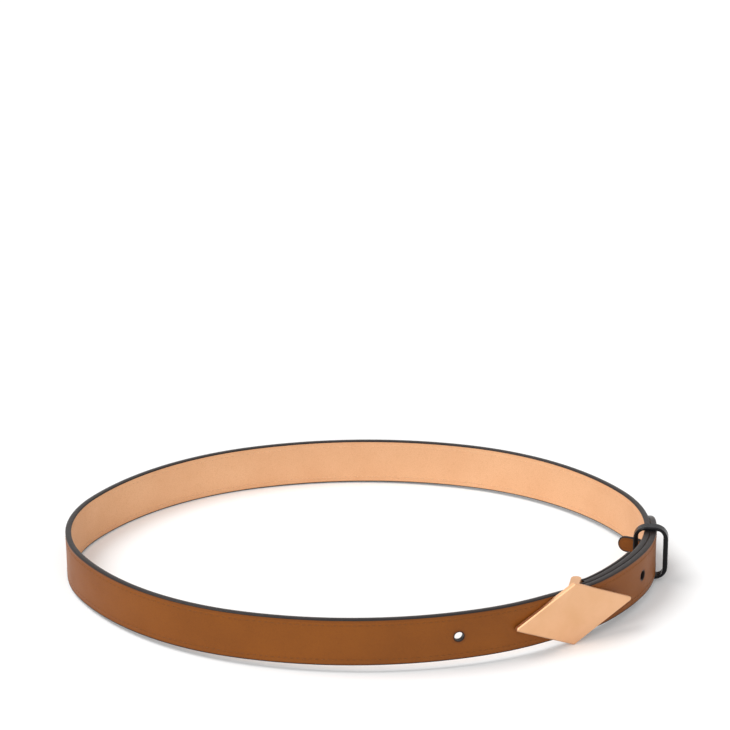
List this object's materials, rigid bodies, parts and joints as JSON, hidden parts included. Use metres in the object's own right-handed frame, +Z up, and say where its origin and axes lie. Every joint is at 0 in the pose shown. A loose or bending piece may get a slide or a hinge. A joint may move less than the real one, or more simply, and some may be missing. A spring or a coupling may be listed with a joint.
{
  "type": "leather belt",
  "caption": "Narrow lined leather dress belt, closed in an oval loop, with a flat lozenge plate buckle, punched tail, loose metal keeper ring and screw-closed buckle end.",
  "frame": {"origin": "centre of the footprint, on the floor the belt stands on", "axes": "+X along the oval's long axis towards the keeper, +Y away from the buckle side, +Z up"},
  "size_m": [0.3164, 0.2346, 0.0338],
  "materials": {
    "face_leather": "smooth cognac brown dress leather, semi-matt, dark painted edges",
    "core_fibre": "bonded leather reinforcement, covered by the edge paint",
    "lining_leather": "natural vegetable-tanned calf, smooth and matt",
    "pale_gold": "satin pale gold plate",
    "black_enamel": "glossy black lacquered metal"
  },
  "bodies": {
    "strap": {"strap_face": "face_leather", "strap_core": "core_fibre", "strap_lining": "lining_leather", "screw_post_1": "pale_gold", "screw_post_2": "pale_gold", "screw_1": "pale_gold", "screw_2": "pale_gold"},
    "buckle": {"buckle_plate": "pale_gold", "buckle_lug_upper": "pale_gold", "buckle_lug_lower": "pale_gold", "buckle_crossbar": "pale_gold", "buckle_peg": "pale_gold"},
    "keeper": {"keeper_ring": "black_enamel"}
  },
  "joints": [
    {"name": "buckle_hinge", "type": "hinge", "parent": "strap", "child": "buckle", "pos_m": [0.10506, -0.07597, 0.01685], "axis": [-0.009, 0.015, 0.9998], "range_deg": [0, 3.5]},
    {"name": "keeper_slide", "type": "hinge", "parent": "strap", "child": "keeper", "pos_m": [0.06517, 0, 0.01535], "axis": [-0.009, 0.015, 0.9998], "range_deg": [-17, 0.5]}
  ]
}
